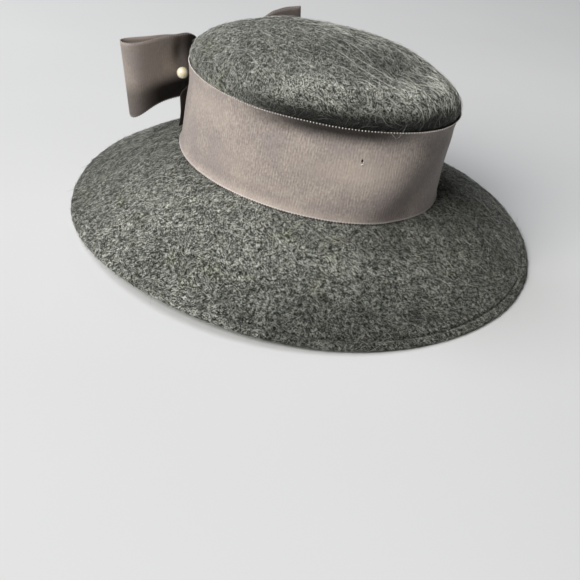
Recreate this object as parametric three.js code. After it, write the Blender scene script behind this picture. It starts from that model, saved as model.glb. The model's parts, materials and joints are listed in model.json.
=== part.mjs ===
// Halo hat: a shallow hood of wool felt with a wide sloping brim, a grosgrain ribbon band with a lapped
// end, and a flat doubled bow of the same ribbon at the back, wrapped by a knot and held by a pearl pin.
// Millimetres. +Z is up, -Y is the wearer's front and +X the wearer's left. The brim's edge stands on z = 0.
// "turn" is the angle round the head: 0 at the front, growing towards the wearer's left.

import * as THREE from 'three';
import { LoftGeometry } from 'three/addons/geometries/LoftGeometry.js';

const { degToRad, lerp, smoothstep } = THREE.MathUtils;
const FULL_TURN = 2 * Math.PI;

// Felt hood. The ovals are half lengths (front to back) and half widths of its outer face.
const FELT_WALL = 2.4;
const SIDE_FOOT = { long: 103.1, wide: 82.7 };
const SIDE_TOP = { long: 104.2, wide: 81.8, forward: 3.1 };
const SIDE_HEIGHT = 63.2;
const SIDE_FRONT_RISE = 1.0;
const SIDE_WAIST = 1.0;
const CROWN_RISE = 35.3;
const CROWN_ROUNDNESS = { mean: 1.97, fullerRight: 0.27 };
const CROWN_CENTRE_BACK = 5.6;
const CROWN_FRONT_LIFT = 7.0;
const CROWN_DENT = { depth: 3.0, turn: degToRad(2), spread: degToRad(26), inward: 0.78, reach: 0.13 };
const BRIM_EDGE = { long: 179.6, wide: 171.9, forward: 1.0 };
const BRIM_ROLL = 1.2;
const BRIM_RAISE = 1.9;
const BRIM_SLANT = 92;
const FOOT_ABOVE_FLOOR = 45.8;
const HEAD_FORWARD = 1.0;
const TURN_STEPS = 60;

// How far the brim's edge drops below the side's foot, and how its outline departs from an oval:
// cosine terms of the turn, in millimetres and in hundredths.
const BRIM_DROP = [43.0, 0.3, 2.7, 2.0, -1.9];
const BRIM_OUTLINE = [100, 0, 0, -1.1, 0.2];

// The hem: the felt is turned under and stitched. Each row is a ring this far in from the edge, with the
// depths of its two skins below the drawn surface. The row with the deep top is the stitched groove.
const HEM_ROWS = [
  { in: 9.5, top: 0.0, under: 2.4 },
  { in: 8.8, top: 0.0, under: 3.8 },
  { in: 7.0, top: 0.0, under: 3.8 },
  { in: 6.2, top: 0.8, under: 3.8 },
  { in: 5.4, top: 0.0, under: 3.8 },
  { in: 3.0, top: 0.0, under: 3.8 },
  { in: 1.2, top: 0.1, under: 3.7 },
  { in: 0.3, top: 0.6, under: 3.3 },
  { in: 0.0, top: 1.4, under: 2.6 },
];

// Ribbon. The band runs round once from its inner end to its lapped end, which springs away from it.
const RIBBON_WALL = 1.0;
const SEAT_GAP = 0.3;
const BAND_START = degToRad(-168);
const BAND_END = degToRad(210);
const BAND_LAP = { rampStart: degToRad(179), rampEnd: degToRad(191), standOff: 1.4, slant: degToRad(11) };
const BAND_SPRING_START = degToRad(195);
const BAND_STEPS = 63;

// The band's rows, from its foot to its top, and how far its free end springs away at each of them.
const BAND_ROWS = [
  { up: 0.012, spring: 5.2 },
  { up: 0.2, spring: 5.3 },
  { up: 0.4, spring: 8.0 },
  { up: 0.54, spring: 1.2 },
  { up: 1.0, spring: 0.0 },
];

// Bow: one doubled ribbon. It is drawn in its own frame: across from the knot, up, and away from the band.
const BOW_CENTRE = new THREE.Vector3(0, 109.7, 43.0 + FOOT_ABOVE_FLOOR);
const BOW_TILT = degToRad(10);
const BOW_REACH = 69.6;
const BOW_HALF_RIBBON = 30.5;
const BOW_PINCH = { top: 12.5, foot: 9.5 };
const BOW_LEAN = -0.017;
const BOW_LAYER_GAP = 1.4;
const BOW_HELD = 14;
const BOW_PLEAT = { depth: 2.0, waves: 0.85, fade: 2.5 };
const BOW_SIDES = {
  right: { sweep: 19.2, belly: 23.5, bellyEnd: 3.9, topOpens: 7.6, footOpens: 6.1 },
  left: { sweep: -28.9, belly: 23.5, bellyEnd: 5.2, topOpens: 0.85, footOpens: 6.1 },
};
const BOW_STEPS = 64;
const BOW_ROWS = 7;

// Knot: a strip of ribbon wrapped over the pinched middle.
const KNOT = { halfWidth: 10, depth: 6.3, height: 22.5, drop: 1.5, squareness: 5, crown: 0.5 };
const KNOT_STEPS = 28;

// Pin: a pear-shaped pearl on a steel shaft that slides under the knot.
const PEARL_CENTRE = new THREE.Vector3(-34.5, 104.9, 39.3 + FOOT_ABOVE_FLOOR);
const PIN_TOWARDS = new THREE.Vector3(8, 105.4, 35.0 + FOOT_ABOVE_FLOOR);
const PEARL = { radius: 4.4, neck: 7.4, neckRadius: 1.1 };
const SHAFT = { radius: 0.5, length: 36, point: 5 };

const FELT = { color: 0x5b5f5a, roughness: 0.97, metalness: 0 };
const GROSGRAIN = { color: 0x8f8681, roughness: 0.7, metalness: 0 };
const PEARL_SHELL = { color: 0xf1ead8, roughness: 0.22, metalness: 0 };
const STEEL = { color: 0xb9bbbd, roughness: 0.3, metalness: 1 };

function cosineSum(terms, turn) {
  return terms.reduce((sum, term, order) => sum + term * Math.cos(order * turn), 0);
}

function ovalPoint(turn, long, wide, forward, z) {
  return new THREE.Vector3(wide * Math.sin(turn), -(long * Math.cos(turn) + forward), z);
}

// The side, from its foot (up = 0) to the crown's round (up = 1), a little waisted between.
function sidePoint(turn, up) {
  const waist = SIDE_WAIST * Math.sin(Math.PI * up);
  const long = lerp(SIDE_FOOT.long, SIDE_TOP.long, up) - waist;
  const wide = lerp(SIDE_FOOT.wide, SIDE_TOP.wide, up) - waist;
  const height = (SIDE_HEIGHT + SIDE_FRONT_RISE * Math.cos(turn)) * up;
  return ovalPoint(turn, long, wide, SIDE_TOP.forward * up, FOOT_ABOVE_FLOOR + height);
}

// A thumb's dent in the crown, just inside the front shoulder.
function crownDent(turn, inward) {
  const round = Math.atan2(Math.sin(turn - CROWN_DENT.turn), Math.cos(turn - CROWN_DENT.turn));
  const off = (round / CROWN_DENT.spread) ** 2 + ((inward - CROWN_DENT.inward) / CROWN_DENT.reach) ** 2;
  return CROWN_DENT.depth * Math.exp(-off);
}

// The crown, from the top of the side (lift = 0) to its centre (lift = a quarter turn). Its shoulder is
// fuller on the wearer's right.
function crownPoint(turn, lift) {
  const roundness = CROWN_ROUNDNESS.mean - CROWN_ROUNDNESS.fullerRight * Math.sin(turn);
  const inward = Math.cos(lift) ** (2 / roundness);
  const rise = Math.sin(lift) ** (2 / roundness);
  const forward = SIDE_TOP.forward - CROWN_CENTRE_BACK * rise;
  const tilt = Math.cos(turn) * inward * (SIDE_FRONT_RISE + CROWN_FRONT_LIFT * rise);
  const z = SIDE_HEIGHT + tilt + CROWN_RISE * rise - crownDent(turn, inward);
  return ovalPoint(turn, SIDE_TOP.long * inward, SIDE_TOP.wide * inward, forward, FOOT_ABOVE_FLOOR + z);
}

// The brim, from the side's foot (across = 0) to its edge (across = 1).
function brimPoint(turn, across) {
  const outline = cosineSum(BRIM_OUTLINE, turn) / 100;
  const long = lerp(SIDE_FOOT.long, BRIM_EDGE.long * outline, across);
  const wide = lerp(SIDE_FOOT.wide, BRIM_EDGE.wide * outline, across);
  const drop = cosineSum(BRIM_DROP, turn) * across ** BRIM_ROLL - BRIM_RAISE * across;
  return ovalPoint(turn, long, wide, BRIM_EDGE.forward * across, FOOT_ABOVE_FLOOR - drop);
}

// Each zone of the hood, with its parameter's last value and the way its normal turns.
const CROWN_ZONE = { point: crownPoint, last: Math.PI / 2, sense: 1 };
const SIDE_ZONE = { point: sidePoint, last: 1, sense: 1 };
const BRIM_ZONE = { point: brimPoint, last: 1, sense: -1 };

// The point this far below the zone's drawn surface, along its normal. At the crown's centre that is down.
function skinPoint(zone, turn, at, depth) {
  const step = 1e-3;
  const along = zone.point(turn + step, at).sub(zone.point(turn - step, at));
  const upper = zone.point(turn, Math.min(at + step, zone.last));
  const lower = zone.point(turn, Math.max(at - step, 0));
  const outward = along.cross(upper.sub(lower));
  if (outward.length() < 1e-9) {
    outward.set(0, 0, 1);
  }
  return zone.point(turn, at).addScaledVector(outward.normalize(), -depth * zone.sense);
}

// The rows of the hood's wall, from the crown's centre over the side to the brim's edge.
function hoodRows() {
  const rows = [];
  for (const degrees of [90, 80, 70, 60, 50, 41, 33, 25, 17, 10, 4]) {
    rows.push({ zone: CROWN_ZONE, at: degToRad(degrees), top: 0, under: FELT_WALL });
  }
  for (const up of [1, 0.54, 0.4, 0.2, 0]) {
    rows.push({ zone: SIDE_ZONE, at: up, top: 0, under: FELT_WALL });
  }
  for (const across of [0.02, 0.1, 0.22, 0.36, 0.5, 0.64, 0.77]) {
    rows.push({ zone: BRIM_ZONE, at: across, top: 0, under: FELT_WALL });
  }
  for (const hem of HEM_ROWS) {
    rows.push({ zone: BRIM_ZONE, at: 1 - hem.in / BRIM_SLANT, top: hem.top, under: hem.under });
  }
  return rows;
}

// Crown, side and brim in one wall, lofted round the head through slices from the crown's centre to the
// brim's edge. Felt that would reach below the floor is pressed flat on it.
function makeFeltHood() {
  const rows = hoodRows();
  const slices = [];
  for (let step = 0; step <= TURN_STEPS; step++) {
    const turn = (FULL_TURN * (step % TURN_STEPS)) / TURN_STEPS;
    const outer = rows.map((row) => skinPoint(row.zone, turn, row.at, row.top));
    const inner = rows.map((row) => skinPoint(row.zone, turn, row.at, row.under));
    const slice = [...outer, ...inner.reverse()];
    slice.forEach((point) => point.setZ(Math.max(point.z, 0)));
    slices.push(slice);
  }
  return new LoftGeometry(slices);
}

// A point of the band, this far off its seat. The band rides over its own inner end, then springs away.
// Its free end is cut on the slant, so the top row ends sooner than the foot.
function bandPoint(turn, row, offSeat) {
  const lap = BAND_LAP.standOff * smoothstep(turn, BAND_LAP.rampStart, BAND_LAP.rampEnd);
  const free = Math.max(0, (turn - BAND_SPRING_START) / (BAND_END - BAND_SPRING_START));
  const slant = BAND_LAP.slant * row.up * smoothstep(turn, BAND_LAP.rampEnd, BAND_END);
  return skinPoint(SIDE_ZONE, turn - slant, row.up, -(SEAT_GAP + lap + row.spring * free ** 2 + offSeat));
}

function makeBand() {
  const sections = [];
  for (let step = 0; step <= BAND_STEPS; step++) {
    const turn = lerp(BAND_START, BAND_END, step / BAND_STEPS);
    const outer = BAND_ROWS.map((row) => bandPoint(turn, row, RIBBON_WALL));
    const inner = BAND_ROWS.map((row) => bandPoint(turn, row, 0));
    sections.push([...inner, ...outer.reverse()]);
  }
  return new LoftGeometry(sections, { capStart: true, capEnd: true });
}

// The bow's own frame: across (wearer's left positive), out (away from the band) and up, tilted in its plane.
function placeOnBow(across, out, up) {
  const cos = Math.cos(BOW_TILT);
  const sin = Math.sin(BOW_TILT);
  return new THREE.Vector3(across * cos - up * sin, out, across * sin + up * cos).add(BOW_CENTRE);
}

// The middle of the ribbon's wall. "round" runs once round both loops, 0 at the left loop's tip, by the
// outer layer to the right loop's tip, and back by the inner one. "edge" is -1 at the foot, 1 at the top.
function bowPoint(round, edge) {
  const side = Math.cos(round) > 0 ? BOW_SIDES.left : BOW_SIDES.right;
  const reach = Math.abs(Math.cos(round));
  const clear = Math.max(0, (BOW_REACH * reach - BOW_HELD) / (BOW_REACH - BOW_HELD));
  const top = BOW_HALF_RIBBON - BOW_PINCH.top * (1 - clear) ** side.topOpens;
  const foot = BOW_HALF_RIBBON - BOW_PINCH.foot * (1 - clear ** side.footOpens);
  const up = (edge * (top + foot) + edge * edge * (top - foot)) / 2;
  const layer = Math.sin(round) * (BOW_LAYER_GAP + side.belly * clear ** side.bellyEnd);
  const pleat = BOW_PLEAT.depth * (1 - clear) ** BOW_PLEAT.fade * Math.cos(FULL_TURN * BOW_PLEAT.waves * edge);
  const out = layer - pleat + BOW_LEAN * up + side.sweep * reach * reach;
  return placeOnBow(BOW_REACH * Math.cos(round), out, up);
}

// The ribbon's face on one side of its wall.
function bowFace(round, edge, depth) {
  const step = 1e-3;
  const along = bowPoint(round + step, edge).sub(bowPoint(round - step, edge));
  const upper = bowPoint(round, Math.min(edge + step, 1));
  const lower = bowPoint(round, Math.max(edge - step, -1));
  const outward = along.cross(upper.sub(lower)).normalize();
  return bowPoint(round, edge).addScaledVector(outward, depth);
}

function makeBow() {
  const half = RIBBON_WALL / 2;
  const sections = [];
  for (let step = 0; step <= BOW_STEPS; step++) {
    const round = (FULL_TURN * (step % BOW_STEPS)) / BOW_STEPS;
    const outer = [];
    const inner = [];
    for (let row = 0; row < BOW_ROWS; row++) {
      const edge = lerp(-1, 1, row / (BOW_ROWS - 1));
      outer.push(bowFace(round, edge, half));
      inner.push(bowFace(round, edge, -half));
    }
    sections.push([...inner, ...outer.reverse()]);
  }
  return new LoftGeometry(sections);
}

// A closed wrap: a rounded box outline, square at its corners by its exponent, a little crowned.
function knotPoint(round, across, wall) {
  const bulge = KNOT.crown * (1 - (across / KNOT.halfWidth) ** 2);
  const power = 2 / KNOT.squareness;
  const cos = Math.cos(round);
  const sin = Math.sin(round);
  const out = Math.sign(cos) * Math.abs(cos) ** power * (KNOT.depth + bulge - wall);
  const up = Math.sign(sin) * Math.abs(sin) ** power * (KNOT.height + bulge - wall);
  return placeOnBow(across, out, up - KNOT.drop);
}

function makeKnot() {
  const acrosses = [-1, -0.5, 0, 0.5, 1].map((share) => share * KNOT.halfWidth);
  const sections = [];
  for (let step = 0; step <= KNOT_STEPS; step++) {
    const round = (FULL_TURN * (step % KNOT_STEPS)) / KNOT_STEPS;
    const outer = acrosses.map((across) => knotPoint(round, across, 0));
    const inner = acrosses.map((across) => knotPoint(round, across, RIBBON_WALL));
    sections.push([...inner, ...outer.reverse()]);
  }
  return new LoftGeometry(sections);
}

// Pear outline: a ball that draws in to a narrow neck where the shaft enters.
function makePearl() {
  const profile = [];
  for (let degrees = -90; degrees <= 36; degrees += 14) {
    const angle = degToRad(degrees);
    profile.push(new THREE.Vector2(PEARL.radius * Math.cos(angle), PEARL.radius * Math.sin(angle)));
  }
  const shoulder = profile[profile.length - 1];
  profile.push(new THREE.Vector2(lerp(shoulder.x, PEARL.neckRadius, 0.5), lerp(shoulder.y, PEARL.neck, 0.42)));
  profile.push(new THREE.Vector2(PEARL.neckRadius, PEARL.neck - 0.4));
  profile.push(new THREE.Vector2(0, PEARL.neck));
  profile[0].x = 0;
  return new THREE.LatheGeometry(profile, 18);
}

function makeShaft() {
  const start = PEARL.neck + SEAT_GAP;
  const end = start + SHAFT.length;
  const profile = [
    new THREE.Vector2(0, start),
    new THREE.Vector2(SHAFT.radius, start),
    new THREE.Vector2(SHAFT.radius, end - SHAFT.point),
    new THREE.Vector2(0, end),
  ];
  return new THREE.LatheGeometry(profile, 10);
}

function makePiece(name, geometry, finish) {
  const piece = new THREE.Mesh(geometry, new THREE.MeshStandardMaterial(finish));
  piece.name = name;
  return piece;
}

// The pearl and its shaft share an axis: their group's +Y runs from the pearl towards the knot.
function makePin() {
  const pin = new THREE.Group();
  pin.position.copy(PEARL_CENTRE);
  const direction = PIN_TOWARDS.clone().sub(PEARL_CENTRE).normalize();
  pin.quaternion.setFromUnitVectors(new THREE.Vector3(0, 1, 0), direction);
  pin.add(makePiece('pin_pearl', makePearl(), PEARL_SHELL));
  pin.add(makePiece('pin_shaft', makeShaft(), STEEL));
  return pin;
}

const hat = new THREE.Group();
hat.position.y = -HEAD_FORWARD;
hat.add(makePiece('felt_hood', makeFeltHood(), FELT));
hat.add(makePiece('band_ribbon', makeBand(), GROSGRAIN));
hat.add(makePiece('bow_ribbon', makeBow(), GROSGRAIN));
hat.add(makePiece('bow_knot', makeKnot(), GROSGRAIN));
hat.add(makePin());

export default hat;
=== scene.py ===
# Halo hat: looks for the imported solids. A hood of brushed wool felt with a stitched hem, a wide
# grosgrain band, a flat bow and its knot of the same ribbon, and a pearl-headed pin.
# Lengths are millimetres until lay_grid and the other makers turn them into Blender's metres.
# "turn" is the angle round the head: 0 at the front, growing towards the wearer's left.

import json
import math
from math import radians

import bmesh
import bpy
import numpy as np
from mathutils import Matrix, Vector, noise

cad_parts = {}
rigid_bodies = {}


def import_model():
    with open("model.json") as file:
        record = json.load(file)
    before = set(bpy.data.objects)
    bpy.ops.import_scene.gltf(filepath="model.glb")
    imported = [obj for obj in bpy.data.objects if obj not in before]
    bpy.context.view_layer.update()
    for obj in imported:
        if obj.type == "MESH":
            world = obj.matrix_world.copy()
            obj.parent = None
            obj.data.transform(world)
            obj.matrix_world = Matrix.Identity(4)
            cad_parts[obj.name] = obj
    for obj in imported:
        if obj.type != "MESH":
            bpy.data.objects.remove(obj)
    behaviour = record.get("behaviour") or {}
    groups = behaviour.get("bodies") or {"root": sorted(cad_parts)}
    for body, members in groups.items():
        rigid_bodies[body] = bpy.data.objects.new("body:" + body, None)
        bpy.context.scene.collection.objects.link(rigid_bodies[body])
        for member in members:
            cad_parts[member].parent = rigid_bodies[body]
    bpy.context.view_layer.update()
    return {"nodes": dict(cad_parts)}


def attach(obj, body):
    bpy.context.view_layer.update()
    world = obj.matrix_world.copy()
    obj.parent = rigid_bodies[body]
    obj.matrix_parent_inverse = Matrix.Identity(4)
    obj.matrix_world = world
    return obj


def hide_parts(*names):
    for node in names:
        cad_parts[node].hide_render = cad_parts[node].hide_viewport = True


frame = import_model()

MM = 0.001
FULL_TURN = 2 * math.pi

# The felt hood's drawn form: half lengths (front to back) and half widths of its outer face.
FELT_WALL = 2.4
SIDE_FOOT_LONG, SIDE_FOOT_WIDE = 103.1, 82.7
SIDE_TOP_LONG, SIDE_TOP_WIDE, SIDE_TOP_FORWARD = 104.2, 81.8, 3.1
SIDE_HEIGHT, SIDE_FRONT_RISE, SIDE_WAIST = 63.2, 1.0, 1.0
CROWN_RISE, CROWN_ROUNDNESS, CROWN_FULLER_RIGHT = 35.3, 1.97, 0.27
CROWN_CENTRE_BACK, CROWN_FRONT_LIFT = 5.6, 7.0
DENT_DEPTH, DENT_TURN, DENT_SPREAD = 3.0, radians(2), radians(26)
DENT_INWARD, DENT_REACH = 0.78, 0.13
BRIM_LONG, BRIM_WIDE, BRIM_FORWARD = 179.6, 171.9, 1.0
BRIM_ROLL, BRIM_RAISE, BRIM_SLANT = 1.2, 1.9, 92
BRIM_DROP = (43.0, 0.3, 2.7, 2.0, -1.9)
BRIM_OUTLINE = (100, 0, 0, -1.1, 0.2)
FOOT = 45.8  # the side's foot above the floor
HEAD_FORWARD = 1.0
SET_BACK = Vector((0, HEAD_FORWARD, 0))

# Soft forms that the felt has taken with use. Heights are from the band's top edge, in millimetres.
SAG_SWELL, SAG_GROWS, SAG_FADES = 5.8, (-3.5, 8), (11, 32)
NIP_DEPTH, NIP_HEIGHT, NIP_REACH = 1.3, -9, 5.5
WAIST_DEPTH, WAIST_TURN, WAIST_SPREAD, WAIST_HEIGHT, WAIST_REACH = 1.9, radians(-142), radians(26), -13, 15
PRESSED = (
    # height, then turn and its spread, lift and its reach, in degrees
    (-2.6, -2, 25, 43, 12),  # a shallow hollow where the front has been leant on
    (1.0, -2, 25, 22, 8),  # the ridge raised round its outside
    (1.1, -73, 3.2, 27, 6),  # one small hard lump where the felt was pinched
)

# The hem: felt turned under and stitched down, so the wall is double and its rim is round.
HEM_WIDTH, HEM_UNDER, HEM_GROOVE_IN, HEM_GROOVE, HEM_GROOVE_REACH = 9.5, 3.8, 6.2, 1.4, 0.9
RIM_ROUND, RIM_HALF = 1.6, 1.9
STITCH_PITCH, STITCH = 4.0, (1.55, 0.28, 0.22)
STITCH_PROUD, STITCH_SUNK = 0.6 * STITCH[2], 0.5  # above the groove's floor, and below the nap that fills it

# Ribbon.
RIBBON_WIDTH, RIBBON_WALL, RIBBON_SHOWN, SEAT_GAP = 62.4, 0.9, 0.6, 0.3
BAND_START, BAND_END = radians(-168), radians(210)
LAP_START, LAP_END, LAP_OFF, LAP_SLANT = radians(179), radians(191), 1.4, radians(11)
SPRING_START = radians(195)
SPRING_UP = (0.0, 0.012, 0.2, 0.4, 0.54, 1.0)
SPRING_OFF = (3.2, 3.2, 4.2, 7.6, 1.2, 0.0)
RIDES_UP = 2.1
SLACK_OFF, SLACK_TURN, SLACK_LEAN = 4.2, radians(-27), radians(24)
PICOT_PITCH, PICOT = 2.0, (0.40, 0.82, 0.42)
HOLE_TURN, HOLE_UP = radians(-36.0), 0.695

BOW_CENTRE = np.array([0, 109.7, 43.0 + FOOT])
BOW_TILT = radians(10)
BOW_REACH, BOW_HALF, BOW_PINCH_TOP, BOW_PINCH_FOOT = 69.6, 30.5, 12.5, 9.5
BOW_LEAN, BOW_LAYER_GAP, BOW_HELD = -0.017, 1.4, 14
PLEAT_DEPTH, PLEAT_WAVES, PLEAT_FADE = 2.0, 0.85, 2.5
BOW_BELLY = 23.5
BOW_RIGHT = dict(sweep=19.2, belly_end=3.9, top_opens=9, foot_opens=6.1)
BOW_LEFT_PRESSED = 0.3  # the left loop lies pressed nearly flat
BOW_LEFT = dict(sweep=-28.9, belly_end=5.2, top_opens=0.85, foot_opens=6.1)

KNOT_HALF, KNOT_DEPTH, KNOT_HEIGHT, KNOT_DROP = 10, 6.3, 22.5, 1.5
KNOT_SQUARE, KNOT_CROWN = 5, 0.5
KNOT_WEAVE = RIBBON_WIDTH / (2 * KNOT_HALF)  # the narrow strip's pattern runs from selvedge to selvedge

PEARL_CENTRE = Vector((-34.5, 104.9, 39.3 + FOOT))
PIN_TOWARDS = Vector((8, 105.4, 35.0 + FOOT))
PEARL_RADIUS, PEARL_NECK, PEARL_NECK_RADIUS = 4.4, 7.4, 1.1


# ---------------------------------------------------------------- shapes

def smooth(value, start, end):
    share = np.clip((value - start) / (end - start), 0, 1)
    return share * share * (3 - 2 * share)


def bell(value, middle, reach):
    return np.exp(-((value - middle) / reach) ** 2)


def beside(turn, middle, spread):
    """A bell round the head, also where the turn passes the back."""
    return bell(np.arctan2(np.sin(turn - middle), np.cos(turn - middle)), 0, spread)


def turns_between(turn, start, end):
    return smooth(turn, radians(start), radians(end))


def cosines(terms, turn):
    return sum(term * np.cos(order * turn) for order, term in enumerate(terms))


def oval(turn, long, wide, forward, z):
    x = wide * np.sin(turn)
    y = -(long * np.cos(turn) + forward)
    return np.stack(np.broadcast_arrays(x, y, z), -1)


def side_point(turn, up):
    """The side, from its foot (0) to the crown's round (1), a little waisted between."""
    waist = SIDE_WAIST * np.sin(np.pi * up)
    long = SIDE_FOOT_LONG + (SIDE_TOP_LONG - SIDE_FOOT_LONG) * up - waist
    wide = SIDE_FOOT_WIDE + (SIDE_TOP_WIDE - SIDE_FOOT_WIDE) * up - waist
    height = (SIDE_HEIGHT + SIDE_FRONT_RISE * np.cos(turn)) * up
    return oval(turn, long, wide, SIDE_TOP_FORWARD * up, FOOT + height)


def crown_point(turn, lift):
    """The crown, from the side's top (0) to its centre (a quarter turn)."""
    roundness = CROWN_ROUNDNESS - CROWN_FULLER_RIGHT * np.sin(turn)
    inward = np.abs(np.cos(lift)) ** (2 / roundness)
    rise = np.abs(np.sin(lift)) ** (2 / roundness)
    forward = SIDE_TOP_FORWARD - CROWN_CENTRE_BACK * rise
    tilt = np.cos(turn) * inward * (SIDE_FRONT_RISE + CROWN_FRONT_LIFT * rise)
    dent = DENT_DEPTH * beside(turn, DENT_TURN, DENT_SPREAD) * bell(inward, DENT_INWARD, DENT_REACH)
    z = FOOT + SIDE_HEIGHT + tilt + CROWN_RISE * rise - dent
    return oval(turn, SIDE_TOP_LONG * inward, SIDE_TOP_WIDE * inward, forward, z)


def brim_point(turn, across):
    """The brim, from the side's foot (0) to its edge (1)."""
    outline = cosines(BRIM_OUTLINE, turn) / 100
    long = SIDE_FOOT_LONG + (BRIM_LONG * outline - SIDE_FOOT_LONG) * across
    wide = SIDE_FOOT_WIDE + (BRIM_WIDE * outline - SIDE_FOOT_WIDE) * across
    drop = cosines(BRIM_DROP, turn) * np.abs(across) ** BRIM_ROLL - BRIM_RAISE * across
    return oval(turn, long, wide, BRIM_FORWARD * across, FOOT - drop)


CROWN = (crown_point, math.pi / 2, 1)
SIDE = (side_point, 1, 1)
BRIM = (brim_point, 1, -1)


def skin(zone, turn, at, depth):
    """The point this far below a zone's drawn surface, along its normal."""
    point, last, sense = zone
    step, too_short = 1e-3, 1e-9
    along = point(turn + step, at) - point(turn - step, at)
    rising = point(turn, np.minimum(at + step, last)) - point(turn, np.maximum(at - step, 0))
    outward = np.cross(along, rising)
    length = np.linalg.norm(outward, axis=-1, keepdims=True)
    outward = np.where(length > too_short, outward / np.maximum(length, too_short), (0, 0, 1))
    return point(turn, at) - outward * sense * np.asarray(depth)[..., None]


def sag_share(turn):
    """How far the crown sags over the band: from the right side (0) round to the front (1) and off again."""
    return turns_between(turn, -102, -60) * (1 - turns_between(turn, -2, 48))


def tuck(turn, above):
    """The crown's sag over the band; above is the height over the band's top edge. The side is drawn in a
    little below that edge; from there the felt swells out, and the ribbon's edge rides out on it."""
    swell = SAG_SWELL * smooth(above, *SAG_GROWS) * (1 - smooth(above, *SAG_FADES))
    waist = WAIST_DEPTH * bell(turn, WAIST_TURN, WAIST_SPREAD) * bell(above, WAIST_HEIGHT, WAIST_REACH)
    return sag_share(turn) * (swell - NIP_DEPTH * bell(above, NIP_HEIGHT, NIP_REACH)) - waist


def pressed_in(turn, lift):
    """What leaning on the front of the crown, and pinching its side, have left."""
    return sum(height * bell(turn, radians(middle), radians(spread)) * bell(lift, radians(high), radians(reach))
               for height, middle, spread, high, reach in PRESSED)


def rides_up(turn, up):
    """How far the crown's sag has pushed the ribbon's top edge up at the front right."""
    front_right = turns_between(turn, -84, -58) * (1 - 0.7 * turns_between(turn, -32, 6))
    return RIDES_UP * front_right * (1 - turns_between(turn, 20, 60)) * smooth(up, 0.55, 1)


def band_tuck(turn, up):
    return tuck(turn, (up - 1) * SIDE_HEIGHT + rides_up(turn, up))


def slack(turn, up):
    """Ribbon that stands off the felt at the front right in one soft ridge, leaning as it rises."""
    ridge = SLACK_TURN + SLACK_LEAN * up
    before = smooth(turn, ridge - radians(40), ridge)
    after = 1 - smooth(turn, ridge, ridge + radians(17))
    return SLACK_OFF * before * after * bell(up, 0.42, 0.40)


def band_point(turn, up, off):
    """The band rides over its own inner end, then its slanted free end springs away."""
    lap = LAP_OFF * smooth(turn, LAP_START, LAP_END)
    free = np.maximum(0, (turn - SPRING_START) / (BAND_END - SPRING_START))
    slant = LAP_SLANT * up * smooth(turn, LAP_END, BAND_END)
    spring = np.interp(up, SPRING_UP, SPRING_OFF) * free ** 2
    raised = np.asarray(rides_up(turn, up))[..., None] * (0, 0, 1)
    return skin(SIDE, turn - slant, up, -(SEAT_GAP + lap + spring + off)) + raised


def place_on_bow(across, out, up):
    cos, sin = math.cos(BOW_TILT), math.sin(BOW_TILT)
    placed = np.broadcast_arrays(across * cos - up * sin, out, across * sin + up * cos)
    return np.stack(placed, -1) + BOW_CENTRE


def bow_point(turn, edge):
    """The ribbon once round both loops; edge is -1 at the foot and 1 at the top. The top edge is arched
    over the left loop, and lifted on the right one where it meets the crown."""
    left = np.cos(turn) > 0
    side = {key: np.where(left, BOW_LEFT[key], BOW_RIGHT[key]) for key in BOW_LEFT}
    reach = np.abs(np.cos(turn))
    clear = np.maximum(0, (BOW_REACH * reach - BOW_HELD) / (BOW_REACH - BOW_HELD))
    top = BOW_HALF - BOW_PINCH_TOP * (1 - clear) ** side["top_opens"]
    foot = BOW_HALF - BOW_PINCH_FOOT * (1 - clear ** side["foot_opens"])
    up = (edge * (top + foot) + edge * edge * (top - foot)) / 2
    belly = np.sin(turn) * (BOW_LAYER_GAP + BOW_BELLY * clear ** side["belly_end"])
    layer = belly * np.where(left, BOW_LEFT_PRESSED, 1)
    pleat = PLEAT_DEPTH * (1 - clear) ** PLEAT_FADE * np.cos(FULL_TURN * PLEAT_WAVES * edge)
    out = layer - pleat + BOW_LEAN * up + side["sweep"] * reach * reach
    arched = np.where(left, 3.4 * smooth(reach, 0.6, 0.77) * (1 - 0.5 * smooth(reach, 0.86, 1)),
                      3.0 * bell(reach, 0.2, 0.12) - 1.6 * bell(reach, 0.42, 0.1))
    return place_on_bow(BOW_REACH * np.cos(turn), out, up + arched * smooth(edge, 0, 1))


def crumple(turn, edge):
    """How the right loop has been handled: its foot rolls under towards the knot, and a short valley runs
    down from the top beside a puffed patch. Both layers move together, away from the hat."""
    reach = np.maximum(0, -np.cos(turn))
    under = 2.2 * smooth(-edge, 0.05, 1.0) ** 1.3 * bell(reach, 0.6, 0.26)
    along_valley = smooth(edge, -0.1, 0.7) * (1 - 0.6 * smooth(edge, 0.7, 1))
    valley = 3.0 * bell(reach + 0.05 * edge, 0.44, 0.08) * along_valley
    puff = -1.6 * bell(reach, 0.38, 0.08) * bell(edge, 0.2, 0.35)
    return under + valley + puff


def knot_point(turn, across):
    bulge = KNOT_CROWN * (1 - (across / KNOT_HALF) ** 2)
    cos, sin = np.cos(turn), np.sin(turn)
    out = np.sign(cos) * np.abs(cos) ** (2 / KNOT_SQUARE) * (KNOT_DEPTH + bulge)
    up = np.sign(sin) * np.abs(sin) ** (2 / KNOT_SQUARE) * (KNOT_HEIGHT + bulge)
    return place_on_bow(across, out, up - KNOT_DROP)


def lengths_along(places, axis):
    """Distance run along one axis of a grid of places, in metres."""
    steps = np.linalg.norm(np.diff(places, axis=axis), axis=-1)
    start = np.zeros_like(np.take(steps, [0], axis=axis))
    return np.concatenate([start, np.cumsum(steps, axis=axis)], axis) * MM


def ripples(places, size, height, seed):
    """Soft uneven relief, as high as this, over a grid of places."""
    flat = places.reshape(-1, 3) / size + seed
    return np.array([noise.noise(point) for point in flat]).reshape(places.shape[:-1]) * height


# ---------------------------------------------------------------- makers

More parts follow.
